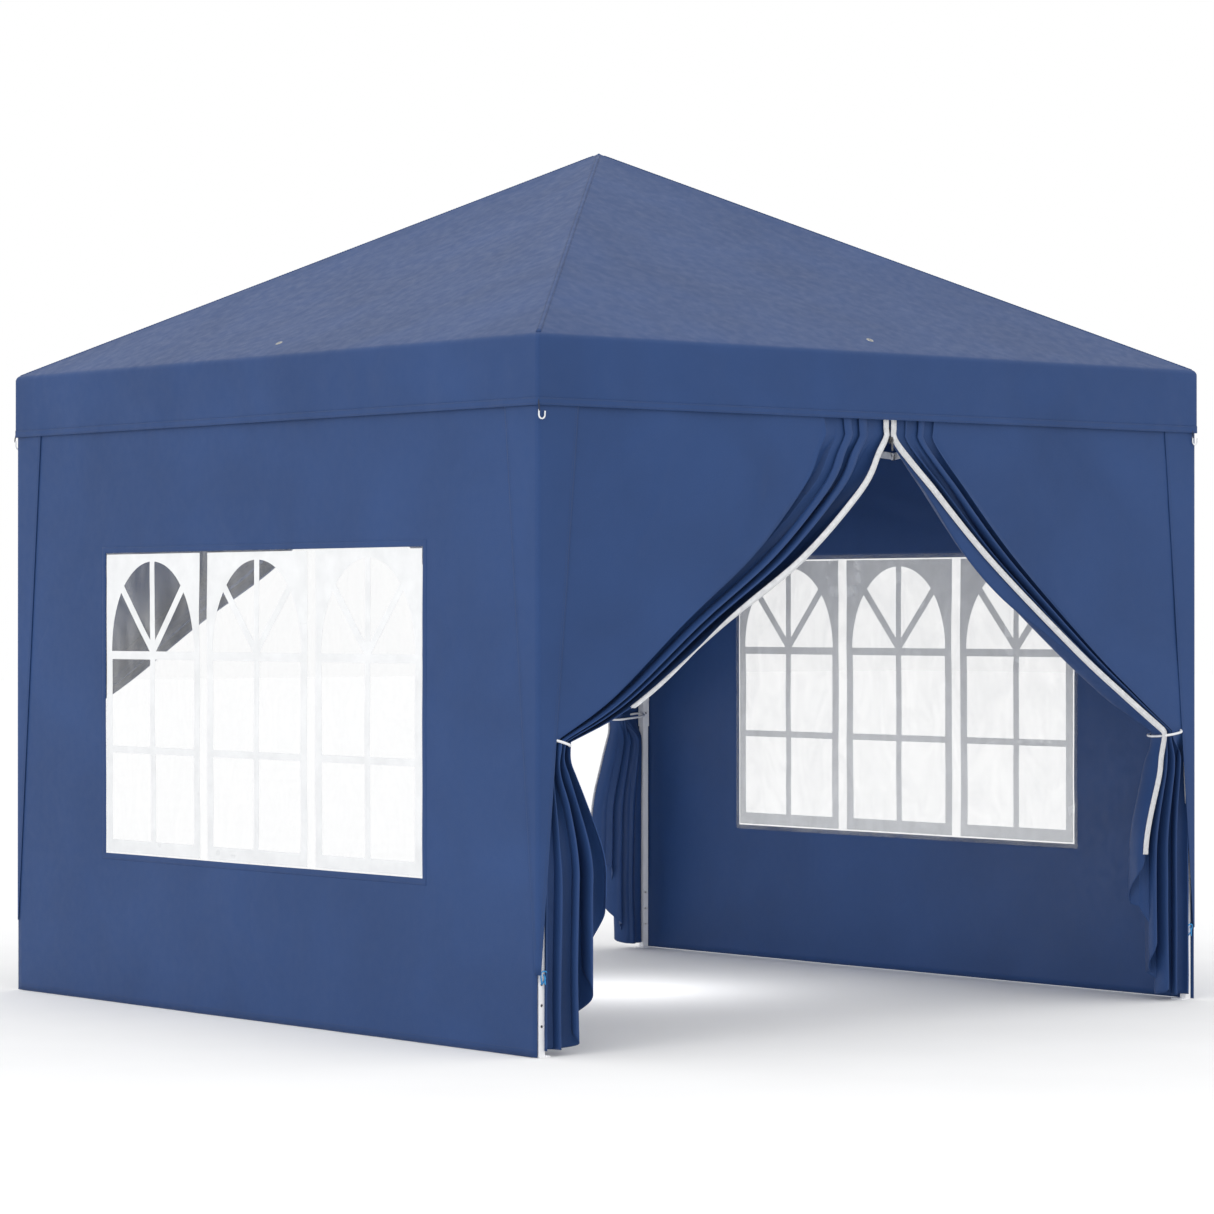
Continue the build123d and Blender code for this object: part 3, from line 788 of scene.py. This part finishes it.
# ---------------------------------------------------------------- doors: four half curtains tied back
class Door:
    """Half of a door. u runs from the middle of the doorway to the leg, and depth runs inward."""

    FLAT_SHARE = 0.25

    def __init__(self, corner, edge, spare, seed, tucks, band):
        self.corner = corner
        self.band = band
        self.tie_u = edge[-1][0]
        self.x, self.y = CORNERS[corner]
        self.edge = Path(edge)
        self.spare = spare
        self.seed = seed
        self.tucks = tucks

    def world(self, u, depth, z):
        return Vector((self.x * u, self.y * (WALL_OUT - depth), z))

    def upper(self, column, row):
        """Above the tie. Returns (u, depth, z)."""
        edge = self.edge.at(row)
        leg = Vector((DOOR_LEG_U, mix(DOOR_TOP_Z, TIE_Z - 0.004, row)))
        along = leg - edge
        width = along.length
        band = min(0.055 + (self.band - 0.055) * (1 - row**0.9), 0.8 * width)
        flat = width - band
        if column <= self.FLAT_SHARE:
            from_edge = width - flat * column / self.FLAT_SHARE
            depth = self.panel_wave(from_edge, row) * smooth(flat / 0.3)
        else:
            share = (column - self.FLAT_SHARE) / (1 - self.FLAT_SHARE)
            depth, lean = self.pleat(share, row, band, DOOR_LEG_U - ZIP_U - flat)
            from_edge = band * (1 - share) + lean
        place = edge + along * (from_edge / width)
        return place.x, depth, place.y

    def panel_wave(self, from_edge, row):
        """Slow waves and creases of the taut part."""
        free = smooth((DOOR_LEG_U - 0.16 - from_edge) / 0.2) * smooth(row / 0.1)
        wave = 0.0030 * ripple(from_edge, row, self.seed, 0.30)
        return -free * (wave + 0.0030 * crease(from_edge + row * 0.8, row, self.seed + 3, 0.24))

    def pleat(self, share, row, band, cloth):
        """Depth and sideways lean of the pleats that take up `cloth` in a band of that width."""
        phase = PLEATS * (share + 0.045 * math.sin(2 * math.pi * (share * 1.3 + self.seed)))
        inside = smooth(share / 0.15) * smooth((1 - share) / 0.15)
        phase += 0.10 * inside * ripple(share * 3, row * 2.4, self.seed, 1.0)
        if share > 0.98:
            phase = mix(phase, PLEATS, (share - 0.98) / 0.02)
        per = cloth / (2 * PLEATS)
        rise = 0.5 * math.sqrt(max(per * per - (band / (2 * PLEATS)) ** 2, 0.0))
        rise = min(max(rise, 0.010), PLEAT_DEEPEST)
        rise = mix(rise, 0.026, smooth((row - 0.86) / 0.14))
        size = 1 + 0.36 * math.sin(5.1 * self.seed + math.floor(phase + 0.5) * 2.3)
        starts = smooth(share / (0.5 / PLEATS))
        edge = self.edge.at(row)
        proud = min(0.55 * rise, PLEAT_PROUD) * starts * smooth((LEG_SIDE_U - edge.x) / 0.03 + 0.4)
        proud *= smooth((row - 0.04) / 0.08)
        below_bars = smooth((BAR_FOOT_Z - edge.y) / 0.09 + 0.2)
        rise = mix(min(rise, BAR_ROOM / 2 / size), rise, below_bars)
        depth = rise * size * (1 - math.cos(2 * math.pi * phase)) * starts - proud
        lean = 0.36 * band / PLEATS * math.sin(2 * math.pi * phase)
        lean *= smooth(share / 0.1) * smooth((1 - share) / 0.1)
        return depth, lean

    def hem(self, column):
        return HEM_LOW + self.spare * max(0.0, (column - 0.36) / 0.64) ** 2.0

    def lower(self, column, drop):
        """Below the tie, where the folds hang free; drop runs from 0 at the tie to 1 at the hem."""
        tie_u, tie_depth, tie_z = self.upper(column, 1.0)
        z = mix(tie_z, self.hem(column), drop)
        fall = tie_z - z
        fan = mix(DOOR_LEG_U - self.tie_u + 0.002, BUNCH_WIDTH, smooth(fall / 0.42))
        if column <= self.FLAT_SHARE:
            phase, size = column / self.FLAT_SHARE, 0.55
        else:
            phase = PLEATS * (column - self.FLAT_SHARE) / (1 - self.FLAT_SHARE)
            size = 1 + 0.3 * math.sin(3.7 * self.seed + math.floor(phase + 0.5) * 2.9)
        inside = math.sin(math.pi * min(1, (1 - column) * 8))
        phase += 0.16 * inside * ripple(column * 4, z * 1.5, self.seed + 9, 1.0)
        ends = smooth(column / 0.10) * smooth((1 - column) / 0.05)
        lean = 0.30 / (PLEATS + 1) * math.sin(2 * math.pi * phase) * ends
        u = DOOR_LEG_U - fan * (column - lean)
        sway = 0.010 * ripple(z * 2.2, column * 2, self.seed + 4, 1.0)
        u += sway * smooth(fall / 0.25) * smooth(column / 0.25)
        free = smooth(fall / 0.16)
        rise = mix(0.026, 0.036, free) * size * smooth(column / 0.12)
        depth = rise * (1 - math.cos(2 * math.pi * phase))
        depth += 0.0015 * ripple(column * 20, z * 8, self.seed, 1.0)
        depth -= 0.012 * smooth((1.385 - u) / 0.03) * free
        return mix(tie_u, u, smooth(fall / 0.10)), mix(tie_depth, depth, smooth(fall / 0.10)), z

    def point(self, column, row):
        """row runs from 0 at the top hem to 1 at the tie and 2 at the bottom hem."""
        return self.world(*(self.upper(column, row) if row <= 1 else self.lower(column, row - 1)))

    def outward(self):
        return Vector((0, self.y, 0))


def make_door(door):
    name = door.corner
    columns = [i / 200 for i in range(201)]
    rows = [i / 96 for i in range(97)] + [1 + i / 80 for i in range(1, 81)]
    points = [door.point(c, r) for r in rows for c in columns]
    curtain = mesh_object(f"door_curtain_{name}", points, face_rows(len(rows), len(columns)), fabric)
    on_door(curtain, name)
    thicken(curtain)
    side, end = name.split("_")[1], name.split("_")[0]
    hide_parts(f"{end}_curtain_{side}")
    tape = make_zip_tape_piece(door)
    if door.x > 0:
        make_flap(door)
    make_tie(door)


def edge_frames(door, step=0.012):
    """Points down the zip edge, each with the direction along it."""
    shares = [i * step for i in range(int(2 / step) + 1)]
    spots = [door.point(1.0, s) for s in shares]
    frames = []
    for i, spot in enumerate(spots):
        along = (spots[min(i + 1, len(spots) - 1)] - spots[max(i - 1, 0)]).normalized()
        frames.append((shares[i], spot, along))
    return frames


def make_zip_tape_piece(door):
    """White tape round the zip edge, with the closed coil standing on it."""
    section = ((-TAPE_IN, 0.0018), (-0.002, 0.0018), (-0.001, 0.0034), (0.0025, 0.0034), (0.0035, 0.0018),
               (TAPE_OUT, 0.0014), (TAPE_OUT, -0.0014), (0.0035, -0.0018), (-TAPE_IN, -0.0018))
    points = []
    frames = [f for f in edge_frames(door) if f[0] <= 0.86 or not door.tucks]
    for share, spot, along in frames:
        side = along.cross(door.outward()).normalized()
        if side.x * door.x > 0 or (abs(side.x) < 0.2 and side.z > 0):
            side = -side
        turn = math.radians(96) * smooth((share - 0.42) / 0.40) * door.tucks
        across = side * math.cos(turn) - door.outward() * math.sin(turn)
        up = door.outward() * math.cos(turn) + side * math.sin(turn)
        points += [spot + across * a + up * b for a, b in section]
    faces = face_rows(len(frames), len(section), closed=True)
    last = (len(frames) - 1) * len(section)
    faces += [tuple(range(len(section)))[::-1], tuple(last + k for k in range(len(section)))]
    tape = mesh_object(f"zip_tape_{door.corner}", points, faces, tape_white)
    tape.data.materials.append(coil_white)
    for polygon in tape.data.polygons:
        if polygon.index % len(section) in (1, 2, 3) and polygon.index < (len(frames) - 1) * len(section):
            polygon.material_index = 1
    return on_door(tape, door.corner)


def make_flap(door):
    """The wind flap behind the zip, showing past the tape between the slider and the tie."""
    frames = [f for f in edge_frames(door, 0.010) if 0.06 <= f[0] <= 0.94]
    steps = 8
    points = []
    for share, spot, along in frames:
        side = along.cross(door.outward()).normalized()
        if side.x * door.x > 0:
            side = -side
        reach = 0.052 * math.sin(math.pi * smooth((share - 0.05) / 0.75)) + 0.004
        for k in range(steps + 1):
            f = k / steps
            bend = 0.004 + 0.010 * f * f + 0.003 * ripple(share * 9, f, door.seed, 1.0) * f
            points.append(spot + side * mix(-0.012, reach, f) - door.outward() * bend)
    flap = mesh_object(f"wind_flap_{door.corner}", points, face_rows(len(frames), steps + 1), fabric)
    on_door(flap, door.corner)
    return thicken(flap)


def make_tie(door):
    """The white cord that holds the gathered door to the leg."""
    low, end = door.edge.line[-1].y - 0.004, door.tie_u
    loop = [
        (end - 0.008, 0.030, low - 0.010), (end - 0.004, -0.006, low - 0.008),
        (mix(end, 1.386, 0.35), -0.022, low - 0.004), (1.386, -0.018, low + 0.004),
        (1.398, 0.002, low + 0.010), (1.420, 0.012, low + 0.014), (1.431, 0.038, low + 0.012),
        (1.415, 0.070, low + 0.004), (mix(end, 1.386, 0.5), 0.082, low - 0.002), (end, 0.066, low - 0.008),
    ]
    tie = wire(f"door_tie_{door.corner}", [door.world(*p) for p in loop], 0.0042, cord_white, closed=True)
    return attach(tie, door.corner + "_leg")


def add_prism(work, outline, place, out, low, high):
    """A prism between two distances along `out`, added to the mesh under work."""
    rings = [[work.verts.new(place + Vector((x, 0, z)) + out * d) for x, z in outline] for d in (low, high)]
    work.faces.new(rings[0][::-1])
    work.faces.new(rings[1])
    for i in range(len(outline)):
        n = (i + 1) % len(outline)
        work.faces.new((rings[0][i], rings[0][n], rings[1][n], rings[1][i]))


def make_zip_slider(y, body):
    """The slider where the two tapes part, with its pull hanging from it."""
    end = "front" if y < 0 else "back"
    out = Vector((0, y, 0))
    place = Vector((0, y * (WALL_OUT + 0.006), SLIDER_Z))
    work = bmesh.new()
    outline = ((-0.0050, 0.010), (0.0050, 0.010), (0.0085, -0.001),
               (0.0060, -0.011), (-0.0060, -0.011), (-0.0085, -0.001))
    add_prism(work, outline, place, out, -0.004, -0.0012)
    add_prism(work, [(x * 0.92, z * 0.92) for x, z in outline], place, out, 0.0012, 0.0040)
    pull = ((-0.0022, 0.003), (0.0022, 0.003), (0.0040, -0.008), (0.0042, -0.030), (0.0022, -0.036),
            (-0.0022, -0.036), (-0.0042, -0.030), (-0.0040, -0.008))
    add_prism(work, pull, place, out, 0.0046, 0.0062)
    bmesh.ops.recalc_face_normals(work, faces=work.faces[:])
    made = bpy.data.meshes.new(f"zip_slider_{end}")
    work.to_mesh(made)
    work.free()
    made.materials.append(zip_metal)
    slider = add_object(f"zip_slider_{end}", made)
    edge = slider.modifiers.new("edges", "BEVEL")
    edge.width = 0.0006
    edge.segments = 2
    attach(slider, body)


# ---------------------------------------------------------------- strips over the legs
def strip_half(z):
    return mix(STRIP_HALF_TIP, STRIP_HALF_TOP, (z - STRIP_TIP_Z) / (STRIP_TOP_Z - STRIP_TIP_Z))


def strip_point(corner, across, z, lift=0.0):
    """A point on the strip that wraps a leg: across is the distance from the corner, along either wall."""
    x, y = CORNERS[corner]
    bend = STRIP_R * math.pi / 4
    distance = abs(across)
    inner = STRIP_OUT - STRIP_R
    free = smooth((distance - 0.02) / 0.05) * smooth((1.93 - z) / 0.1)
    lift += 0.0012 * free * max(0.0, ripple(across, z * 0.5, x * 3 + y, 0.20))
    if distance < bend:
        angle = math.pi / 4 - distance / STRIP_R
        near, far = (STRIP_R + lift) * math.sin(angle), (STRIP_R + lift) * math.cos(angle)
        spot = (inner + far, inner + near)
        normal = (math.cos(angle), math.sin(angle))
    else:
        spot = (STRIP_OUT + lift, inner - (distance - bend))
        normal = (1.0, 0.0)
    if across < 0:
        spot, normal = spot[::-1], normal[::-1]
    return Vector((x * spot[0], y * spot[1], z)), Vector((x * normal[0], y * normal[1], 0))


def make_strip(corner):
    shares = [-1, -0.97, -0.94, *[s / 12 for s in range(-11, -1)], *[s / 24 for s in range(-2, 3)],
              *[s / 12 for s in range(2, 12)], 0.94, 0.97, 1]
    zs = spread(STRIP_TIP_Z, STRIP_TOP_Z, 0.030)
    points = [strip_point(corner, share * strip_half(z), z)[0] for z in zs for share in shares]
    strip = mesh_object(f"corner_strip_{corner}", points, face_rows(len(zs), len(shares)), fabric)
    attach(strip, corner + "_leg")
    thicken(strip)
    rows = []
    for sign in (-1, 1):
        for inset in (0.004, 0.011):
            def row(d, s=sign, i=inset):
                z = STRIP_TIP_Z + 0.08 + d
                return strip_point(corner, s * (strip_half(z) - i), z, 0.0007)
            rows.append((row, STRIP_TOP_Z - STRIP_TIP_Z - 0.09))
    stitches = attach(stitching(f"corner_strip_stitches_{corner}", rows, thread), corner + "_leg")


def make_leg_cord(corner):
    """The elastic loop that ties the tip of the strip through the top height hole of the leg."""
    x, y = CORNERS[corner]
    face = LEG + LOWER_TUBE_HALF
    hole_z = HEIGHT_HOLE_Z

    def spot(right, out, z):
        return Vector((x * LEG + right, y * (face + out), z))

    loop = [
        spot(0.0, -0.004, hole_z), spot(0.001, 0.003, hole_z + 0.001), spot(0.010, 0.007, hole_z + 0.018),
        spot(0.013, 0.009, hole_z + 0.036), spot(0.004, 0.011, hole_z + 0.041),
        spot(-0.006, 0.011, hole_z + 0.040), spot(-0.011, 0.009, hole_z + 0.034),
        spot(-0.007, 0.006, hole_z + 0.016), spot(-0.001, 0.003, hole_z + 0.002),
    ]
    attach(wire(f"leg_cord_{corner}", loop, 0.0020, cord_blue, closed=True), corner + "_leg")
    tail = [spot(0.002, 0.006, hole_z + 0.030), spot(0.004, 0.011, hole_z + 0.024),
            spot(0.003, 0.012, hole_z + 0.012), spot(0.006, 0.010, hole_z)]
    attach(wire(f"leg_cord_tail_{corner}", tail, 0.0019, cord_blue), corner + "_leg")


def make_corner_hook(corner):
    """The white hook that hangs under the corner of the valance on a short dark cord."""
    x, y = CORNERS[corner]
    middle = Vector((x * (HALF - 0.016), y * (HALF + 0.001), VALANCE_BOTTOM - 0.026))
    turn = Vector((1, 0, 0))
    arch = [(-0.011, 0.013), (-0.0115, 0.004), (-0.0115, -0.008), (-0.006, -0.014), (0.0, -0.0155),
            (0.006, -0.014), (0.0115, -0.008), (0.0115, 0.002), (0.0125, 0.008)]
    points = [middle + turn * a + Vector((0, 0, b)) for a, b in arch]
    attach(wire(f"corner_hook_{corner}", points, 0.0024, hook_white), corner + "_leg")
    route = ((-0.010, -0.003, 0.048), (-0.012, -0.001, 0.032), (-0.013, 0.003, 0.018),
             (-0.012, 0.003, 0.008), (-0.009, 0.001, 0.010))
    cord = [middle + turn * a + Vector((0, y * out, b)) for a, out, b in route]
    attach(wire(f"corner_hook_cord_{corner}", cord, 0.0022, cord_dark_and_hole_shade), corner + "_leg")


# ---------------------------------------------------------------- stage
def add_light(name, kind, place, energy, **settings):
    light = bpy.data.lights.new(name, kind)
    light.energy = energy
    for key, value in settings.items():
        setattr(light, key, value)
    lamp = add_object(name, light)
    lamp.location = place
    lamp.rotation_euler = (Vector((0, 0, 1.0)) - Vector(place)).to_track_quat("-Z", "Y").to_euler()
    return lamp


def make_stage():
    ground = Finish("pale_floor")
    ground.tint(ground.noise(1.5, 3.0), (0.88, 0.88, 0.88), (0.90, 0.90, 0.90))
    ground.set(Roughness=0.9, Specular_IOR_Level=0.0)
    reach = 60.0
    corners = [(-reach, -reach, 0), (reach, -reach, 0), (reach, reach, 0), (-reach, reach, 0)]
    mesh_object("floor", corners, [(0, 1, 2, 3)], ground.made)
    world = bpy.data.worlds.new("studio")
    bpy.context.scene.world = world
    world.use_nodes = True
    world.node_tree.nodes["Background"].inputs["Color"].default_value = (1.0, 1.0, 1.0, 1)
    world.node_tree.nodes["Background"].inputs["Strength"].default_value = 1.0
    add_light("sky_light", "SUN", (-2.0, -1.5, 9.0), 0.55, angle=math.radians(70))
    side_light = add_light("side_light", "AREA", (-11.0, -3.5, 4.5), 150.0, shape="DISK", size=6.0)
    side_light.visible_camera = False
    inner_light = add_light("inner_light", "POINT", (0.15, 0.1, 0.5), 22.0, shadow_soft_size=0.5)
    inner_light.visible_camera = False
    bpy.context.scene.view_settings.view_transform = "Standard"


def make_camera():
    lens = bpy.data.cameras.new("camera")
    lens.lens = 120.01
    lens.sensor_width = 36.0
    camera = add_object("camera", lens)
    camera.location = (-9.1469, -10.9216, 1.3329)
    camera.rotation_euler = (math.radians(90.121), 0, math.radians(-40.062))
    bpy.context.scene.camera = camera


# ---------------------------------------------------------------- build
# Zip edges of the drawn doors, from the top hem down to the tie, as (u, z)
EDGE_START = [(ZIP_U, DOOR_TOP_Z), (ZIP_U, SLIDER_Z + 0.030), (ZIP_U, SLIDER_Z + 0.006)]
LEFT_EDGE = [*EDGE_START, (0.054, 1.850), (0.134, 1.737), (0.397, 1.509), (0.737, 1.300), (1.026, 1.104),
             (1.180, 1.018), (1.352, 0.950)]
RIGHT_EDGE = [*EDGE_START, (0.054, 1.858), (0.152, 1.768), (0.440, 1.517), (0.850, 1.216), (1.096, 1.055),
              (1.296, 0.930)]

finish_cad_nodes()
make_stage()
make_camera()
make_roof()
for side, name in ((-1, "left"), (1, "right")):
    make_wall(side, name)
    make_film_sheet(side, name)
for door in (
    Door("front_left", LEFT_EDGE, 0.46, 0.37, 1, 0.29),
    Door("front_right", RIGHT_EDGE, 0.49, 1.61, 0, 0.20),
    Door("back_left", LEFT_EDGE, 0.46, 2.83, 1, 0.29),
    Door("back_right", RIGHT_EDGE, 0.49, 4.19, 0, 0.20),
):
    make_door(door)
make_zip_slider(-1, "mid_bracket_front_top")
make_zip_slider(1, "mid_bracket_back_top")
for corner in CORNERS:
    make_strip(corner)
    make_leg_cord(corner)
    make_corner_hook(corner)
